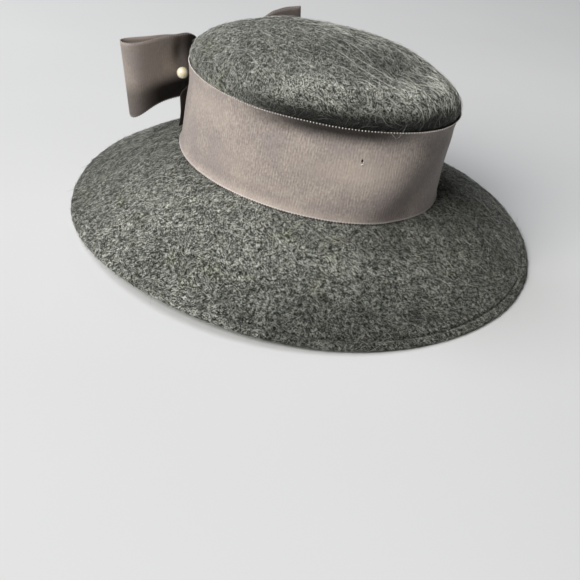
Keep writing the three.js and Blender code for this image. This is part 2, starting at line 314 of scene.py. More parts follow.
def show(name, mesh):
    piece = bpy.data.objects.new(name, mesh)
    bpy.context.scene.collection.objects.link(piece)
    return piece


def finish_mesh(shape, name, material, closed=True):
    """A piece of this material from a bmesh, with its faces turned outwards."""
    if closed:
        bmesh.ops.recalc_face_normals(shape, faces=shape.faces)
    mesh = bpy.data.meshes.new(name)
    shape.to_mesh(mesh)
    shape.free()
    mesh.shade_smooth()
    mesh.materials.append(material)
    return show(name, mesh)


def lay_grid(name, places, cloth, material, marks):
    """A grid of quads laid on places[row][column]; cloth holds the ribbon's own flat coordinates.
    Marks are named values, one for each place, that a material or the strewn fibres read."""
    rows, columns = places.shape[:2]
    shape = bmesh.new()
    flat = shape.loops.layers.uv.new("Cloth")
    bmesh.ops.create_grid(shape, x_segments=columns - 1, y_segments=rows - 1, size=0.5)
    layers = {}
    for key, values in marks.items():
        kinds = shape.verts.layers
        layers[key] = (kinds.float_vector if values.ndim == 3 else kinds.float).new(key)
    spots = {}
    for vert in shape.verts:
        spot = (round((vert.co.y + 0.5) * (rows - 1)), round((vert.co.x + 0.5) * (columns - 1)))
        spots[vert] = spot
        x, y, z = places[spot]
        vert.co = Vector((x, y - HEAD_FORWARD, z)) * MM
        for key, layer in layers.items():
            value = marks[key][spot]
            vert[layer] = Vector(value) if value.ndim else float(value)
    for face in shape.faces:
        for corner in face.loops:
            corner[flat].uv = cloth[spots[corner.vert]]
    bmesh.ops.remove_doubles(shape, verts=shape.verts, dist=1e-6)
    return finish_mesh(shape, name, material)


def lay_ribbon(name, places, across, material, marks, thickness, offset):
    """A length of ribbon on a grid of places, and that length. Across is each place's distance from the
    foot selvedge, and offset says on which side of the places its wall stands."""
    run = lengths_along(places, 1)[len(places) // 2]
    cloth = np.stack(np.broadcast_arrays(run[None, :], across * MM), -1)
    piece = lay_grid(name, places, cloth, material, marks)
    wall = piece.modifiers.new("Wall", "SOLIDIFY")
    wall.thickness, wall.offset, wall.use_even_offset = thickness * MM, offset, True
    return piece, run[-1]


def settle(piece, name, nodes):
    """Rides on the hat's one body and stands for its CAD nodes, which it hides."""
    piece.name = name
    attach(piece, "root")
    if nodes:
        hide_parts(*nodes)


# ---------------------------------------------------------------- nodes

MATH, VECTOR_MATH, SPREAD, MIX = "ShaderNodeMath", "ShaderNodeVectorMath", "ShaderNodeMapRange", "ShaderNodeMix"
PLACE, MAPPING, CLOTH, MARK = "ShaderNodeTexCoord", "ShaderNodeMapping", "ShaderNodeUVMap", "ShaderNodeAttribute"
NOISE, RAMP, BUMP = "ShaderNodeTexNoise", "ShaderNodeValToRGB", "ShaderNodeBump"
SPLIT, JOIN = "ShaderNodeSeparateXYZ", "ShaderNodeCombineXYZ"
RANDOM, NAMED = "FunctionNodeRandomValue", "GeometryNodeInputNamedAttribute"
POSITION = "GeometryNodeInputPosition"
TIMES, TIMES_PLUS = dict(operation="MULTIPLY"), dict(operation="MULTIPLY_ADD")
COLOURS = dict(out=2, data_type="RGBA")  # a Mix node's share is its input 0, and its two colours are 6 and 7


def colour(code):
    """An sRGB hex colour as linear values."""
    parts = [int(code[start:start + 2], 16) / 255 for start in (1, 3, 5)]
    return [p / 12.92 if p <= 0.04045 else ((p + 0.055) / 1.055) ** 2.4 for p in parts] + [1]


def add(tree, kind, inputs=(), out=0, stops=(), **settings):
    """One node with its settings. Its inputs are values or output sockets, in order or by name or number
    in a dict, and stops are the colours along a ramp. Gives back one output, or with None all of them."""
    made = tree.nodes.new(kind)
    for key, value in settings.items():
        setattr(made, key, value)
    for socket, value in inputs.items() if isinstance(inputs, dict) else enumerate(inputs):
        if isinstance(value, bpy.types.NodeSocket):
            tree.links.new(value, made.inputs[socket])
        else:
            made.inputs[socket].default_value = value
    while stops and len(made.color_ramp.elements) < len(stops):
        made.color_ramp.elements.new(0.5)
    for number, (position, code) in enumerate(stops):
        made.color_ramp.elements[number].position = position
        made.color_ramp.elements[number].color = colour(code)
    return made.outputs if out is None else made.outputs[out]


def begin(name, **shell):
    """A material with its shader, whose own sockets hold what is the same all over."""
    material = bpy.data.materials.new(name)
    material.use_nodes = True
    tree = material.node_tree
    shader = tree.nodes["Principled BSDF"]
    for socket, value in shell.items():
        shader.inputs[socket.replace("_", " ")].default_value = value
    return material, tree, shader


# ---------------------------------------------------------------- materials

# How many marks of each pattern lie along a metre, from the real size of what it stands for.
FELT_LOCKS = 1950  # carded locks, 0.5 mm wide and 2.5 mm long
FELT_FINE = 1900  # ends of fibres, 0.5 mm; single fibres are 0.03 mm, too fine to show
FELT_TUFTS = 380  # tufts, 2.6 mm
FELT_BRUSHED = 75  # patches that lie one way, 13 mm
FELT_CLOUDS, FELT_WARM, FELT_SLOW = 95, 34, 18  # uneven dyeing in patches of 11, 29 and 55 mm
CURLS_PALE, CURLS_PALE_PATCH, CURLS_DARK, CURLS_DARK_PATCH = 300, 160, 260, 190  # loose curls 3 to 4 mm long
RIB_PITCH = 1.9  # real ribs are 0.6 mm apart; drawn this far apart so that they show
RIB_WANDER, RIB_FADES = 90, 330  # the cord strays over 11 mm, and sinks in for 3 mm at a time
YARN_STREAK, YARN_SPECK, DYE_BLOTCH = 900, 620, 46  # streaks 1.1 mm wide, slubs of 1.6 mm, dye blots of 22 mm
FELT_RELIEF, RIB_RELIEF = 2.0, 0.12  # how deep the tufts and the ribs are, in millimetres
LOOP_TONE, THREAD_TONE, PEARL_MIST = 500, 1400, 260  # a loop's 2 mm, a ply's 0.7 mm, runs of the dip 4 mm
WIRE_LINES, BOARD_TONE = 4000, 3  # lines of the die 0.25 mm apart, and drifts of paint a third of a metre wide


def locks_laid(tree, place, heading, start):
    """Locks five times as long as wide, laid at this heading round the hat's upright."""
    laid = add(tree, MAPPING, {"Vector": place, "Location": start, "Rotation": (0.2, 0.1, heading),
                               "Scale": (1, 5.0, 1.5)}, vector_type="TEXTURE")
    return add(tree, NOISE, {"Vector": laid, "Scale": FELT_LOCKS, "Roughness": 0.6, "Distortion": 0.2})


def locks_two_ways(tree, place, one_way, first, second):
    """Locks that lie at one heading in some patches and at another in the rest."""
    return add(tree, MIX, {0: one_way, 2: locks_laid(tree, place, *first), 3: locks_laid(tree, place, *second)})


def curls(tree, place, scale, swirl, thin, patches, patch_scale):
    """Thin curved lines, where a soft noise passes its middle value, shown in some patches only."""
    soft = add(tree, NOISE, {"Vector": place, "Scale": scale, "Detail": 1.0, "Distortion": swirl})
    line = add(tree, MATH, [add(tree, MATH, [soft, 0.5], operation="SUBTRACT")], operation="ABSOLUTE")
    patch = add(tree, SPREAD, [add(tree, NOISE, {"Vector": patches, "Scale": patch_scale}), 0.45, 0.62])
    return add(tree, MATH, [add(tree, SPREAD, [line, 0.0, thin, 1.0, 0.0]), patch], **TIMES)


def darker_or_paler(tree, base, shade):
    """A colour made darker or paler by a shade that is the same for its red, green and blue."""
    grey = add(tree, "ShaderNodeCombineColor", [shade, shade, shade])
    return add(tree, MIX, {0: 1.0, 6: base, 7: grey}, blend_type="MULTIPLY", **COLOURS)


def felt_material():
    # Wool felt of charcoal, grey and pale fleece carded together, then blocked and brushed. The eye sees
    # a matt, hairy mottle of dark and pale tufts, faint warm patches, and a soft bloom where it turns away.
    material, tree, shader = begin("Wool felt, blocked and brushed", Roughness=0.96, IOR=1.45,
                                   Specular_IOR_Level=0.1, Sheen_Weight=0.27, Sheen_Roughness=0.55,
                                   Sheen_Tint=colour("#c9ccc4"))
    place, flat = add(tree, PLACE, out="Object"), add(tree, CLOTH, uv_map="Cloth")
    shifted = add(tree, MAPPING, {"Vector": place, "Location": (0.31, 0.17, 0.43), "Rotation": (0.7, 0.4, 1.1)})
    brushed, tufts, fine, warm, slow, cloudy = (
        add(tree, NOISE, {"Vector": where, "Scale": scale, "Detail": detail, "Roughness": rough,
                          "Distortion": twist})
        for where, scale, detail, rough, twist in (
            (shifted, FELT_BRUSHED, 1.0, 0.5, 0.0), (place, FELT_TUFTS, 3.0, 0.62, 0.5),
            (shifted, FELT_FINE, 1.0, 0.6, 0.2), (place, FELT_WARM, 3.0, 0.65, 0.0),
            (shifted, FELT_SLOW, 2.0, 0.5, 0.0), (place, FELT_CLOUDS, 3.0, 0.62, 0.4)))
    # Carding lays the wool in short locks that lie one way in each patch of the felt. Brushing laid them
    # outwards over the brim and towards the front on the crown.
    swept = add(tree, MARK, out="Fac", attribute_name="swept")
    patch = add(tree, MATH, [swept, 0.1, brushed], **TIMES_PLUS)
    one_way = add(tree, SPREAD, [patch, 0.4, 0.6, 0.25, 0.75])
    outwards = locks_two_ways(tree, flat, one_way, (0.6, (0.1, 0.2, 0.3)), (-0.8, (0.7, 0.5, 0.1)))
    forwards = locks_two_ways(tree, place, one_way, (0.2, (0.1, 0.2, 0.3)), (-0.7, (0.4, 0.9, 0.6)))
    combed = add(tree, MARK, out="Fac", attribute_name="combed")
    locks = add(tree, MIX, {0: combed, 2: forwards, 3: outwards})
    mottle = add(tree, MATH, [locks, 0.48], **TIMES)
    for pattern, weight in ((tufts, 0.22), (fine, 0.3)):
        mottle = add(tree, MATH, [pattern, weight, mottle], **TIMES_PLUS)
    body = add(tree, RAMP, [mottle], stops=((0.446, "#080a07"), (0.477, "#333530"), (0.510, "#6c6e67"),
                                            (0.556, "#cccec4")))
    pale = curls(tree, place, CURLS_PALE, 2.0, 0.022, shifted, CURLS_PALE_PATCH)
    dark = curls(tree, shifted, CURLS_DARK, 2.2, 0.026, place, CURLS_DARK_PATCH)
    for curl, code in ((dark, "#1f211e"), (pale, "#b4b6ab")):
        share = add(tree, MATH, [curl, 0.3], **TIMES)
        body = add(tree, MIX, {0: share, 6: body, 7: colour(code)}, **COLOURS)
    share = add(tree, MATH, [add(tree, SPREAD, [warm, 0.54, 0.68]), 0.42], **TIMES)
    tinted = add(tree, MIX, {0: share, 6: body, 7: colour("#96956c")}, blend_type="SOFT_LIGHT", **COLOURS)
    shade = add(tree, MATH, [add(tree, SPREAD, [slow, 0.36, 0.64, 0.86, 1.12]),
                             add(tree, SPREAD, [cloudy, 0.36, 0.64, 0.74, 1.26])], **TIMES)
    # Multiplied in here: painted light and shade, with a painted shadow under the crown's sag among it.
    shade = add(tree, MATH, [shade, add(tree, MARK, out="Fac", attribute_name="worn")], **TIMES)
    tree.links.new(darker_or_paler(tree, tinted, shade), shader.inputs["Base Color"])
    height = add(tree, MATH, [pale, 0.35, mottle], **TIMES_PLUS)
    raised = add(tree, BUMP, {"Height": height, "Strength": 1.0, "Distance": FELT_RELIEF * MM})
    tree.links.new(raised, shader.inputs["Normal"])
    return material


def fibre_material(name, dark, pale):
    # Single guard hairs of the fleece that brushing has raised: round, waxy, a little glossier than the felt.
    material, tree, shader = begin(name, Roughness=0.62, IOR=1.55, Specular_IOR_Level=0.3,
                                   Sheen_Weight=0.1, Sheen_Roughness=0.5)
    tone = add(tree, MARK, out="Fac", attribute_name="tone")
    # The fibres take most of the felt's painted light and shade where they stand.
    worn = add(tree, MATH, [add(tree, MARK, out="Fac", attribute_name="worn"), 0.88, 0.12], **TIMES_PLUS)
    ground = add(tree, RAMP, [tone], stops=((0.0, dark), (1.0, pale)))
    tree.links.new(darker_or_paler(tree, ground, worn), shader.inputs["Base Color"])
    return material


def grosgrain_material(name, grain, hole=None):
    # Grosgrain of viscose warp over cotton cord, woven with corded weft. The eye sees close upright ribs,
    # a dry, low sheen that runs along them, uneven streaks of dye, and paler thread at the two selvedges.
    # One mark makes it warm and pale, partly dye faded by light and partly painted light; another lays painted
    # shadow, near black, where it lies in shade.
    material, tree, shader = begin(name, Roughness=0.62, IOR=1.5, Specular_IOR_Level=0.28,
                                   Sheen_Weight=0.25, Sheen_Roughness=0.4, Sheen_Tint=colour("#e6dcd6"))
    place, flat = add(tree, PLACE, out="Object"), add(tree, CLOTH, uv_map="Cloth")
    along, across, _ = add(tree, SPLIT, [flat], None)
    faded = add(tree, MARK, out="Fac", attribute_name="faded")
    kept = add(tree, MARK, out="Fac", attribute_name="kept")
    # The ribs come and go as the cord under them does.
    wander = add(tree, NOISE, {"Vector": flat, "Scale": RIB_WANDER, "Roughness": 0.6})
    strayed = add(tree, MATH, [wander, 8.0], **TIMES)
    turns = add(tree, MATH, [along, FULL_TURN / (RIB_PITCH * MM), strayed], **TIMES_PLUS)
    sinks = add(tree, NOISE, {"Vector": flat, "Scale": RIB_FADES, "Roughness": 0.6})
    rib = add(tree, MATH, [add(tree, MATH, [turns], operation="SINE"),
                           add(tree, SPREAD, [sinks, 0.38, 0.62, 0.2, 1.0])], **TIMES)
    upright = add(tree, MAPPING, {"Vector": flat, "Scale": (1, 0.3, 1)})
    streak = add(tree, NOISE, {"Vector": upright, "Scale": YARN_STREAK, "Detail": 1.0, "Roughness": 0.6})
    speck = add(tree, NOISE, {"Vector": flat, "Scale": YARN_SPECK, "Roughness": 0.7})
    blotch = add(tree, NOISE, {"Vector": place, "Scale": DYE_BLOTCH, "Detail": 4.0, "Roughness": 0.6,
                               "Distortion": 0.6})
    tone = 0.055 + 0.42 * (1 - grain)
    for pattern, weight in ((rib, 0.06), (speck, 0.44), (streak, 0.40)):
        tone = add(tree, MATH, [pattern, weight * grain, tone], **TIMES_PLUS)
    body = add(tree, RAMP, [tone], stops=((0.33, "#7c726c"), (0.46, "#978d86"), (0.59, "#b0a69e")))
    mauve = add(tree, SPREAD, [blotch, 0.42, 0.62, 0.0, 0.45])
    cast = add(tree, MATH, [faded, 0.55, add(tree, SPREAD, [blotch, 0.36, 0.5, 0.18, 0.0])], **TIMES_PLUS)
    warmed = add(tree, MATH, [cast, 0.85], **TIMES)
    # Paler weft at the selvedges; where the fade mark is high it adds a painted highlight along the lit foot.
    selvedge = add(tree, SPREAD, [across, 0.9 * MM, 2.0 * MM, 1.0, 0.0])
    pale_selvedge = add(tree, MATH, [selvedge, add(tree, MATH, [faded, 0.5, 0.3], **TIMES_PLUS)], **TIMES)
    # Mauve blots of dye, warm pale patches that are partly faded dye and partly painted light, near-black
    # painted shadow, and the pale selvedge thread.
    for share, code in ((mauve, "#8b8183"), (warmed, "#c4b6aa"), (kept, "#120e0b"), (pale_selvedge, "#d8cdc7")):
        body = add(tree, MIX, {0: share, 6: body, 7: colour(code)}, **COLOURS)
    if hole:
        # A pin once went through here; its hole is a dark slot of painted shade in the weave.
        away = add(tree, VECTOR_MATH, [place, hole], operation="SUBTRACT")
        slot = add(tree, VECTOR_MATH, [away, (1, 1, 0.55)], operation="MULTIPLY")
        reach = add(tree, VECTOR_MATH, [slot], out="Value", operation="LENGTH")
        share = add(tree, SPREAD, [reach, 0.5 * MM, 0.75 * MM, 1.0, 0.0])
        body = add(tree, MIX, {0: share, 6: body, 7: colour("#040303")}, **COLOURS)
    tree.links.new(body, shader.inputs["Base Color"])
    height = add(tree, MATH, [rib, 0.35, streak], **TIMES_PLUS)
    raised = add(tree, BUMP, {"Height": height, "Strength": 1.0, "Distance": RIB_RELIEF * grain * MM})
    tree.links.new(raised, shader.inputs["Normal"])
    return material


def mottled_material(name, scale, stops, **shell):
    """A material whose colour drifts between its stops in soft marks, so many to a metre."""
    material, tree, shader = begin(name, **shell)
    drift = add(tree, NOISE, {"Vector": add(tree, PLACE, out="Object"), "Scale": scale})
    tree.links.new(add(tree, RAMP, [drift], stops=stops), shader.inputs["Base Color"])
    return material


def thread_material(name, code):
    # Spun thread, matt and slightly hairy, one colour all through with small changes along it.
    material, tree, shader = begin(name, Roughness=0.8, IOR=1.5, Specular_IOR_Level=0.2, Sheen_Weight=0.2)
    dark = add(tree, MIX, {0: 0.5, 6: colour(code), 7: colour("#161714")}, **COLOURS)
    drift = add(tree, NOISE, {"Vector": add(tree, PLACE, out="Object"), "Scale": THREAD_TONE, "Detail": 1.0})
    share = add(tree, SPREAD, [drift, 0.35, 0.65, 0.0, 0.35])
    mixed = add(tree, MIX, {0: share, 6: colour(code), 7: dark}, **COLOURS)
    tree.links.new(mixed, shader.inputs["Base Color"])
    return material


def steel_material():
    # Drawn steel wire, bright, with fine lines along it from the die.
    material, tree, shader = begin("Steel wire, drawn", Metallic=1.0)
    lines = add(tree, MAPPING, {"Vector": add(tree, PLACE, out="Object"), "Scale": (0.05, 1, 1)})
    drawn = add(tree, NOISE, {"Vector": lines, "Scale": WIRE_LINES})
    bright = add(tree, RAMP, [drawn], stops=((0.3, "#a9abad"), (0.7, "#cfd1d3")))
    tree.links.new(bright, shader.inputs["Base Color"])
    tree.links.new(add(tree, SPREAD, [drawn, 0.3, 0.7, 0.24, 0.4]), shader.inputs["Roughness"])
    return material


felt = felt_material()
pin_hole = band_point(HOLE_TURN, HOLE_UP, RIBBON_WALL + 0.9)
pin_hole = tuple((pin_hole - (0, HEAD_FORWARD, 0)) * MM)
band_grosgrain = grosgrain_material("Grosgrain ribbon, corded weave, faded", 1.0, pin_hole)
bow_grosgrain = grosgrain_material("Grosgrain ribbon, corded weave", 0.35)
# The weft of undyed cotton turns at each edge in a small tight loop that catches the light.
cotton_loops = mottled_material("Cotton weft loops, undyed", LOOP_TONE, ((0.35, "#d6cbc4"), (0.6, "#faf5f0")),
                                Roughness=0.75, IOR=1.5, Specular_IOR_Level=0.2, Sheen_Weight=0.2,
                                Sheen_Roughness=0.5)
# Glass bead dipped in pearl essence. The eye sees a deep cream glow, a clear gloss coat, and a faint
# cloudiness where the dip ran.
pearl_glass = mottled_material("Imitation pearl, dipped glass", PEARL_MIST,
                               ((0.36, "#eddfb2"), (0.6, "#fff9e4")), Roughness=0.26, IOR=1.53, Coat_Weight=0.7,
                               Coat_Roughness=0.08, Subsurface_Weight=0.1, Subsurface_Scale=0.002)
# Board painted white and left matt: an even pale ground with a faint drift of tone.
white_board = mottled_material("Painted board, matt white", BOARD_TONE, ((0.3, "#e4e5e5"), (0.7, "#e8e9e9")),
                               Roughness=0.85, Specular_IOR_Level=0.2)
hem_thread = thread_material("Polyester sewing thread, charcoal", "#2b2d2a")


# ---------------------------------------------------------------- felt hood

TURNS = np.linspace(0, FULL_TURN, 289)
ROUND = np.arctan2(np.sin(TURNS), np.cos(TURNS))  # the same turns, less than half a turn either way
RIM_START, HEM_START = 1 - RIM_ROUND / BRIM_SLANT, 1 - HEM_WIDTH / BRIM_SLANT
FAR_BELOW, SEWN_REACH = -90, 1.3
ROUND_HEAD = 0.13  # metres for each radian, so that locks keep their width round the brim
BRUSHED = np.array((-0.15, -0.6, 0))  # the crown was brushed towards the front, the brim outwards

CROWN_PAINTED_SHADING = (
    # painted light and shade: change of tone, then turn and its spread, lift and its reach, in degrees
    (0.12, -55, 34, 38, 16), (0.3, -55, 14, 27, 8), (0.56, -8, 26, 25, 9), (-0.32, -4, 24, 48, 12),
    (-0.14, 150, 90, 60, 34), (-0.42, -40, 34, 60, 20), (-0.38, -104, 30, 12, 15), (-0.12, -90, 24, 42, 16),
    (0.4, 16, 24, 26, 14),
)
# The brim's painted light and shade start from a tone a little above 1.
BRIM_TONE = 1.02
BRIM_PAINTED_SHADING = (
    # painted light and shade: change of tone, turn and its spread in degrees, and its share across the brim from
    # foot (0) to edge (1)
    (-0.52, -38, 32, lambda at: smooth(at, 0.4, 0.85)),
    (-0.44, -145, 36, lambda at: 1),
    (-0.08, -18, 30, lambda at: 1),
    (0.17, -84, 26, lambda at: bell(at, 0.5, 0.4)),
    (-0.14, 20, 30, lambda at: at),
    (-0.3, -22, 18, lambda at: bell(at, 0.12, 0.22)),
)


def hood_rows():
    """Rows (zone, at, depth) round the wall: crown, side, brim, rim, and back under to the crown."""
    rows = [(CROWN, radians(a), 0) for a in np.linspace(90, 1.2, 46)]
    rows += [(SIDE, up, 0) for up in np.linspace(1, 0, 12)]
    rows += [(BRIM, across, 0) for across in np.linspace(0.01, HEM_START, 40)]
    for across in np.linspace(HEM_START + 0.004, RIM_START, 20):
        groove = HEM_GROOVE * bell((1 - across) * BRIM_SLANT, HEM_GROOVE_IN, HEM_GROOVE_REACH)
        rows.append((BRIM, across, groove))
    for round_off in np.radians(np.linspace(80, -80, 11)):
        across = 1 - RIM_ROUND * (1 - math.cos(round_off)) / BRIM_SLANT
        rows.append((BRIM, across, RIM_HALF * (1 - math.sin(round_off))))
    rows += [(BRIM, across, HEM_UNDER) for across in np.linspace(RIM_START, HEM_START, 8)]
    rows += [(BRIM, across, FELT_WALL) for across in np.linspace(HEM_START - 0.008, 0.02, 16)]
    rows += [(SIDE, up, FELT_WALL) for up in np.linspace(0, 1, 9)]
    rows += [(CROWN, radians(a), FELT_WALL) for a in np.linspace(4, 90, 18)]
    return rows


def felt_relief(places, zones):
    """Blocked felt is never quite even: slow swells, and small ones where the steam left it loose."""
    swell = ripples(places, 34, 0.9, 3.1) + ripples(places, 13, 0.4, 7.7)
    calm = np.array([0.0 if zone is SIDE else 1.0 for zone in zones])[:, None]
    return swell * calm


def relief_share(zone, at):
    """How much of the felt's unevenness shows: none on the side, and less towards the brim's edge."""
    from_band = at / 0.35 if zone is CROWN else at / 0.12 if zone is BRIM else 0
    from_edge = (1 - at) / 0.2 if zone is BRIM else 1
    return min(1, from_band) * (0.4 + 0.6 * min(1, from_edge))


def swept_round(turn):
    """Where the brim's nap was brushed round towards the front as well as outwards: the front right."""
    return turns_between(turn, -80, -28) * (1 - turns_between(turn, 5, 55))


def hem_filled(turn):
    """How far brushing has filled the hem's groove with nap: most at the back right and the front left."""
    return 0.85 * beside(turn, -2.36, 1.05) + 0.7 * beside(turn, 0.95, 0.8)


def painted_felt_shading(turn, zone, at, above):
    """Painted light and shade on the felt, multiplied into its colour: a painted shadow under the sag, and
    darker and paler painted patches on the crown and brim that stand for how the light falls there. 1 is
    unchanged."""
    def patch(middle, spread):
        return beside(turn, radians(middle), radians(spread))
    if zone is CROWN:
        # A painted shadow under the sag, less deep from the front round to the left.
        shadow_depth = 0.95 - 0.5 * turns_between(turn, -8, 20)
        sag_shadow = shadow_depth * sag_share(turn) * (1 - smooth(above, 3.6, 10.5))
        return 1 - sag_shadow + sum(change * patch(middle, spread) * bell(math.degrees(at), lift, reach)
                                   for change, middle, spread, lift, reach in CROWN_PAINTED_SHADING)
    if zone is BRIM:
        return BRIM_TONE + sum(change * patch(middle, spread) * across(at)
                               for change, middle, spread, across in BRIM_PAINTED_SHADING)
    return 1 + 0 * turn


def make_hood():
    rows = hood_rows()
    drawn = np.array([skin(zone, TURNS, at, 0) for zone, at, _ in rows])
    uneven = felt_relief(drawn, [zone for zone, _, _ in rows])
    filled, swept = hem_filled(ROUND), swept_round(ROUND)
    outward = np.stack([np.sin(TURNS), -np.cos(TURNS), 0 * TURNS], -1)
    onward = np.stack([np.cos(TURNS), np.sin(TURNS), 0 * TURNS], -1) * swept[:, None]
    places, marks = [], {key: [] for key in ("hairy", "lay", "worn", "combed", "swept")}
    for (zone, at, depth), swells in zip(rows, uneven):
        crown, brim = zone is CROWN, zone is BRIM
        above = at * CROWN_RISE if crown else FAR_BELOW if brim else (at - 1) * SIDE_HEIGHT
        relief = swells * relief_share(zone, at) + tuck(ROUND, above)
        if crown:
            relief = relief + pressed_in(ROUND, at)
        if brim and depth <= HEM_GROOVE and at < RIM_START:
            relief = relief + depth * filled
        places.append(skin(zone, TURNS, at, depth - relief))
        shown = 0 if zone is SIDE else 0.3 if depth > RIM_HALF + 0.1 else 1
        sewn = bell((1 - at) * BRIM_SLANT, HEM_GROOVE_IN, SEWN_REACH) if brim else 0
        marks["hairy"].append(shown * (1 - sewn * (1 - filled)))
        marks["lay"].append(outward * 0.5 + BRUSHED if crown else outward + 1.1 * onward)
        # Painted light and shade for the felt and its fibres.
        marks["worn"].append(painted_felt_shading(ROUND, zone, at, above))
        marks["combed"].append((1 - smooth(at, 0.55, 0.95) if crown else 1.0) + 0 * TURNS)
        marks["swept"].append(swept)
    places = np.array(places)
    places[:, -1] = places[:, 0]
    places[0, :] = places[0].mean(0)
    places[-1, :] = places[-1].mean(0)
    places[..., 2] = np.maximum(places[..., 2], 0)
    cloth = np.stack(np.broadcast_arrays(TURNS * ROUND_HEAD, lengths_along(places, 0)), -1)
    return lay_grid("hood", places, cloth, felt, {key: np.array(values) for key, values in marks.items()})


hood = make_hood()
settle(hood, "felt_brushed_hood", ["felt_hood"])


# ---------------------------------------------------------------- raised fibres

def add_rod(shape, length, thickness, joints):
    """A thin three-sided rod standing on Z, with joints along it. Gives back its corners."""
    radius, before = thickness / 2, len(shape.verts)
    bmesh.ops.create_cone(shape, cap_ends=False, segments=3, radius1=radius, radius2=radius, depth=length)
    uprights = [edge for edge in shape.edges if abs(edge.verts[0].co.z - edge.verts[1].co.z) > length / 2]
    bmesh.ops.subdivide_edges(shape, edges=uprights, cuts=joints)
    shape.verts.ensure_lookup_table()
    return shape.verts[before:]


def make_lock(length, thickness, joints, bow, lift, hook):
    """One hair lying along X, drawn to a point at both ends and bent."""
    shape = bmesh.new()
    for vert in add_rod(shape, length, thickness, joints):
        share = 2 * vert.co.z / length
        thin = max(0.0, 1 - abs(share) ** 3)
        side = bow * (share * share - 0.4) * length + hook * share ** 3 * length
        up = lift * (1 - share * share) * length
        vert.co = Vector((vert.co.z * (1 - 0.4 * abs(bow)), vert.co.x * thin + side, vert.co.y * thin + up)) * MM
    bmesh.ops.remove_doubles(shape, verts=shape.verts, dist=1e-7)
    return finish_mesh(shape, "lock", felt)


def strew(name, ground, locks, material, per_square_metre, on_brim, swing, tilt, seed):
    """Fibres strewn over the felt: laid along the brushing, swung and tilted at random."""
    store = bpy.data.collections.new(name)
    bpy.context.scene.collection.children.link(store)
    for lock in locks:
        bpy.context.scene.collection.objects.unlink(lock)
        store.objects.link(lock)
    tree = bpy.data.node_groups.new(name, "GeometryNodeTree")
    for way in ("INPUT", "OUTPUT"):
        tree.interface.new_socket("Geometry", in_out=way, socket_type="NodeSocketGeometry")
    # They stand in clumps, only where the felt is hairy and clear of the floor, and fewer on the brim.
    place = add(tree, POSITION)
    height = add(tree, SPLIT, [place], 2)
    hairy = add(tree, NAMED, {"Name": "hairy"}, data_type="FLOAT")
    off_floor = add(tree, MATH, [height, OFF_FLOOR * MM], operation="GREATER_THAN")
    grown = add(tree, MATH, [off_floor, hairy], **TIMES)
    clumps = add(tree, NOISE, {"Vector": place, "Scale": FIBRE_CLUMPS, "Roughness": 0.6})
    clumped = add(tree, MATH, [grown, add(tree, SPREAD, [clumps, 0.38, 0.62, 0.15, 1.85])], **TIMES)
    share = add(tree, SPREAD, [height, FOOT * MM, 2 * FOOT * MM, on_brim, 1.0])
    dense = add(tree, MATH, [clumped, add(tree, MATH, [share, per_square_metre], **TIMES)], **TIMES)
    points = add(tree, "GeometryNodeDistributePointsOnFaces",
                 {"Mesh": add(tree, "NodeGroupInput"), "Density": dense, "Seed": seed}, None)
    # Each lies along the brushing, then swings and tilts at random and with its neighbours.
    stood = add(tree, "FunctionNodeAlignRotationToVector", {"Vector": points["Normal"]}, axis="Z")
    lay = add(tree, NAMED, {"Name": "lay"}, data_type="FLOAT_VECTOR")
    laid = add(tree, "FunctionNodeAlignRotationToVector", {"Rotation": stood, "Vector": lay},
               axis="X", pivot_axis="Z")
    at_random = add(tree, RANDOM, {"Min": (0, -tilt, -swing), "Max": (0, tilt, swing), "Seed": seed + 1},
                    data_type="FLOAT_VECTOR")
    drift = add(tree, NOISE, {"Vector": place, "Scale": FIBRE_SWIRLS + seed, "Detail": 1.0})
    swirl = add(tree, JOIN, {2: add(tree, SPREAD, [drift, 0.4, 0.6, -0.5, 0.5])})
    swung = add(tree, VECTOR_MATH, [at_random, swirl], operation="ADD")
    turned = add(tree, "FunctionNodeRotateRotation",
                 {"Rotation": laid, "Rotate By": add(tree, "FunctionNodeEulerToRotation", [swung])},
                 rotation_space="LOCAL")
    shapes = add(tree, "GeometryNodeCollectionInfo",
                 {"Collection": store, "Separate Children": True, "Reset Children": True})
    size = add(tree, RANDOM, {2: FIBRE_SIZES[0], 3: FIBRE_SIZES[1], "Seed": seed + 2}, 1, data_type="FLOAT")
    pick = add(tree, RANDOM, {4: 0, 5: len(locks) - 1, "Seed": seed + 3}, 2, data_type="INT")
    placed = add(tree, "GeometryNodeInstanceOnPoints",
                 {"Points": points["Points"], "Instance": shapes, "Pick Instance": True,
                  "Instance Index": pick, "Rotation": turned, "Scale": size})
    tone = add(tree, RANDOM, {2: 0.0, 3: 1.0, "Seed": seed + 4}, 1, data_type="FLOAT")
    toned = add(tree, "GeometryNodeStoreNamedAttribute", {"Geometry": placed, "Name": "tone", "Value": tone},
                data_type="FLOAT", domain="INSTANCE")
    tree.links.new(add(tree, "GeometryNodeRealizeInstances", {"Geometry": toned}),
                   tree.nodes.new("NodeGroupOutput").inputs[0])
    carrier = show(name, ground.data)
    carrier.modifiers.new("Fibres", "NODES").node_group = tree
    settled = bpy.context.evaluated_depsgraph_get()
    mesh = bpy.data.meshes.new_from_object(carrier.evaluated_get(settled), preserve_all_data_layers=True,
                                           depsgraph=settled)
    mesh.materials.clear()
    mesh.materials.append(material)
    mesh.shade_smooth()
    bpy.data.objects.remove(carrier)
    for lock in list(store.objects):
        bpy.data.objects.remove(lock)
    bpy.data.collections.remove(store)
    for vert in mesh.vertices:
        vert.co.z = max(vert.co.z, LOWEST_FIBRE * MM)
    return show(name, mesh)


grey_fibre = fibre_material("Wool fibre, undyed grey", "#6c6f68", "#b4b6ac")
pale_fibre = fibre_material("Wool fibre, undyed pale", "#b0b2a8", "#e9eae2")
dark_fibre = fibre_material("Wool fibre, dyed charcoal", "#1f211e", "#3f423d")

